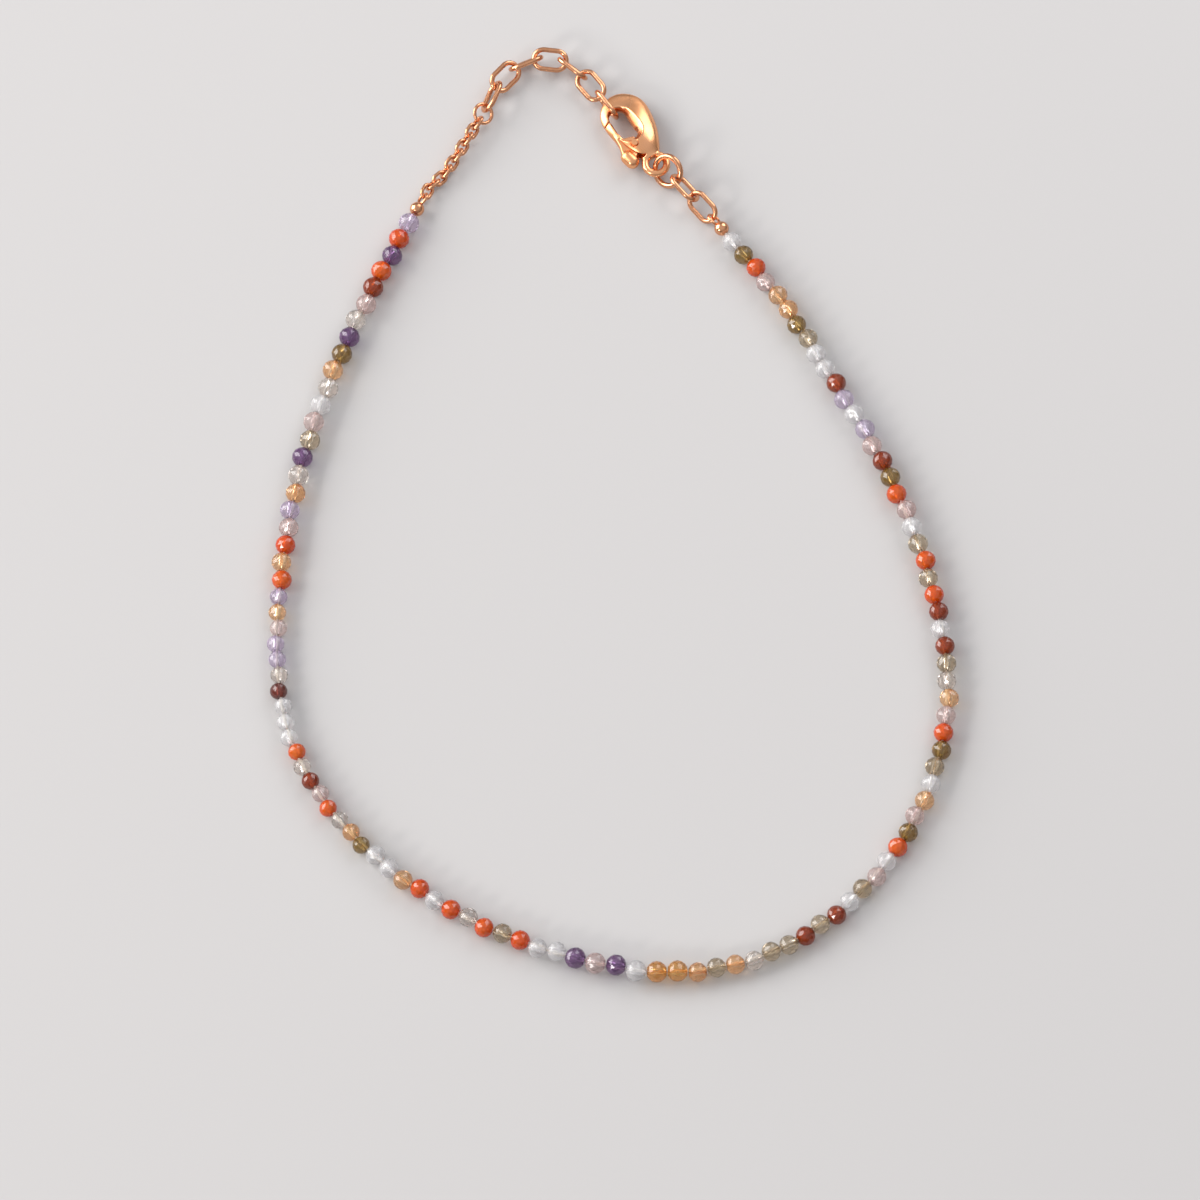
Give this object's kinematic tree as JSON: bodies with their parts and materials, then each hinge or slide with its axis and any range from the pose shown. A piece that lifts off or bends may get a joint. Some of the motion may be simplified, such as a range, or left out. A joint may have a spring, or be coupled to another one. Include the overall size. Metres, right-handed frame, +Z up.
{
  "type": "beaded anklet",
  "caption": "Anklet of small faceted multicoloured stones with an extension chain and a sprung lobster clasp, fastened in a loop.",
  "frame": {"origin": "on the surface that the anklet lies on, under the middle of its box", "axes": "+X across the loop, +Y along the loop towards the clasp, +Z up off the surface"},
  "size_m": [0.0693, 0.1034, 0.003],
  "materials": {
    "stones": "faceted and polished",
    "thread": "fine beading thread",
    "rose_gold": "polished rose gold plate"
  },
  "bodies": {
    "anklet": {"bead_string": "stones", "thread": "thread", "left_end_cap": "rose_gold", "right_end_cap": "rose_gold", "fine_chain": "rose_gold", "connector_ring": "rose_gold", "extension_link_1": "rose_gold", "extension_link_2": "rose_gold", "extension_link_3": "rose_gold", "extension_link_4": "rose_gold", "extension_link_5": "rose_gold", "extension_link_6": "rose_gold", "extension_link_7": "rose_gold", "clasp_body": "rose_gold", "clasp_pin": "rose_gold", "jump_ring": "rose_gold", "clasp_link_1": "rose_gold", "clasp_link_2": "rose_gold"},
    "clasp_lever": {"clasp_lever": "rose_gold"}
  },
  "joints": [
    {"name": "clasp_lever_hinge", "type": "hinge", "parent": "anklet", "child": "clasp_lever", "pos_m": [0.00248, 0.04041, 0.00121], "axis": [0, 0, -1], "range_deg": [0, 24], "stiffness_Nm_per_rad": 0.004}
  ]
}
